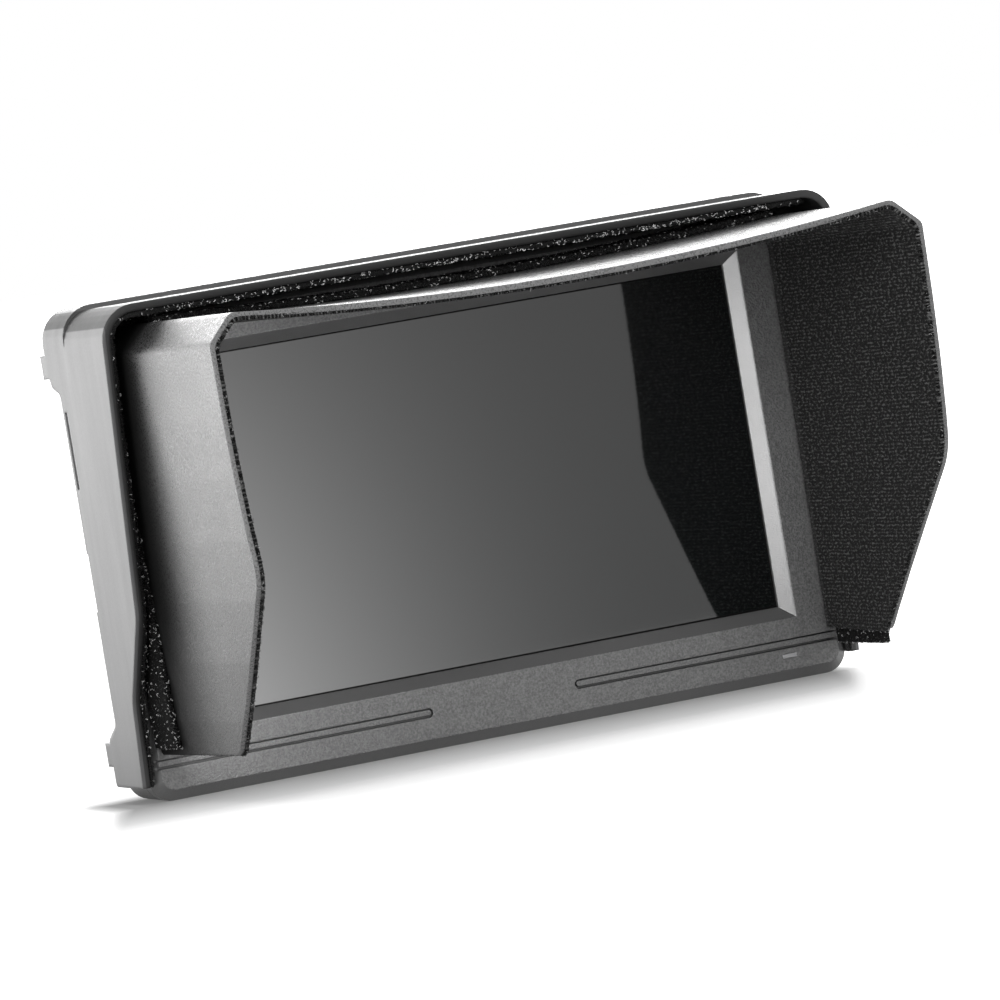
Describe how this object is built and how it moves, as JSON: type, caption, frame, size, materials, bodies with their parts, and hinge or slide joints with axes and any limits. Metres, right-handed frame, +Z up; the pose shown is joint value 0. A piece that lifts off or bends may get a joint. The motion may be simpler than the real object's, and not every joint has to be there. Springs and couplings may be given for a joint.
{
  "type": "camera field monitor with sun hood",
  "caption": "Flat camera monitor with a recessed wide screen, in a slide-on frame that holds a three-sided velvet-lined sun hood; tripod thread below and battery plate behind.",
  "frame": {"origin": "mouth of the tripod thread in the monitor's bottom face", "axes": "+X to the viewer's right, +Y into the monitor away from the viewer, +Z up"},
  "size_m": [0.1502, 0.0994, 0.0961],
  "materials": {
    "bezel_plastic": "fine leather-like texture",
    "cover_plastic": "fine texture",
    "screen_glass": "gloss",
    "seal_rubber": "matt",
    "panel_black": "dark panel, switched off",
    "white_plastic": "matt",
    "steel": "satin",
    "ribbon": "satin",
    "brass": "satin",
    "circuit_board": "satin",
    "button_plastic": "satin",
    "light_pipe": "translucent",
    "frame_plastic": "smooth satin",
    "hook_and_loop": "fuzzy hook-and-loop pile",
    "hood_plastic": "fine speckled grain",
    "velvet": "knitted velvet"
  },
  "bodies": {
    "monitor": {"front_bezel": "bezel_plastic", "rear_cover": "cover_plastic", "cover_glass": "screen_glass", "glass_gasket": "seal_rubber", "lcd_panel": "panel_black", "backlight_unit": "white_plastic", "panel_bracket": "steel", "bracket_screws": "steel", "panel_flex": "ribbon", "board_standoffs": "brass", "main_board": "circuit_board", "board_screws": "steel", "button_board": "circuit_board", "tact_switches": "steel", "indicator_light": "light_pipe", "video_in_socket": "steel", "video_out_socket": "steel", "headphone_socket": "button_plastic", "power_socket": "button_plastic", "battery_plate": "cover_plastic", "battery_contacts": "brass", "latch_spring": "steel", "plate_screws": "steel", "tripod_insert": "brass", "case_screws": "steel"},
    "f1_key": {"f1_button": "button_plastic"},
    "f2_key": {"f2_button": "button_plastic"},
    "menu_key": {"menu_button": "button_plastic"},
    "down_key": {"down_button": "button_plastic"},
    "up_key": {"up_button": "button_plastic"},
    "power_key": {"power_button": "button_plastic"},
    "latch": {"battery_latch": "button_plastic"},
    "frame": {"hood_frame": "frame_plastic", "frame_loop_strips": "hook_and_loop"},
    "hood": {"hood_shell": "hood_plastic", "hood_lining": "velvet", "hood_hook_strips": "hook_and_loop"}
  },
  "joints": [
    {"name": "frame_lift", "type": "slide", "parent": "monitor", "child": "frame", "axis": [0, 0, 1], "range_m": [0, 0.095]},
    {"name": "hood_pull", "type": "slide", "parent": "frame", "child": "hood", "axis": [0, -1, 0], "range_m": [0, 0.03]},
    {"name": "f1_press", "type": "slide", "parent": "monitor", "child": "f1_key", "axis": [0, 0, -1], "range_m": [0, 0.0005], "stiffness_N_per_m": 1200},
    {"name": "f2_press", "type": "slide", "parent": "monitor", "child": "f2_key", "axis": [0, 0, -1], "range_m": [0, 0.0005], "stiffness_N_per_m": 1200},
    {"name": "menu_press", "type": "slide", "parent": "monitor", "child": "menu_key", "axis": [0, 0, -1], "range_m": [0, 0.0005], "stiffness_N_per_m": 1200},
    {"name": "down_press", "type": "slide", "parent": "monitor", "child": "down_key", "axis": [0, 0, -1], "range_m": [0, 0.0005], "stiffness_N_per_m": 1200},
    {"name": "up_press", "type": "slide", "parent": "monitor", "child": "up_key", "axis": [0, 0, -1], "range_m": [0, 0.0005], "stiffness_N_per_m": 1200},
    {"name": "power_press", "type": "slide", "parent": "monitor", "child": "power_key", "axis": [0, 0, -1], "range_m": [0, 0.0005], "stiffness_N_per_m": 1200},
    {"name": "latch_press", "type": "slide", "parent": "monitor", "child": "latch", "axis": [0, -1, 0], "range_m": [0, 0.0015], "stiffness_N_per_m": 500, "deforming": ["latch_spring"]}
  ]
}
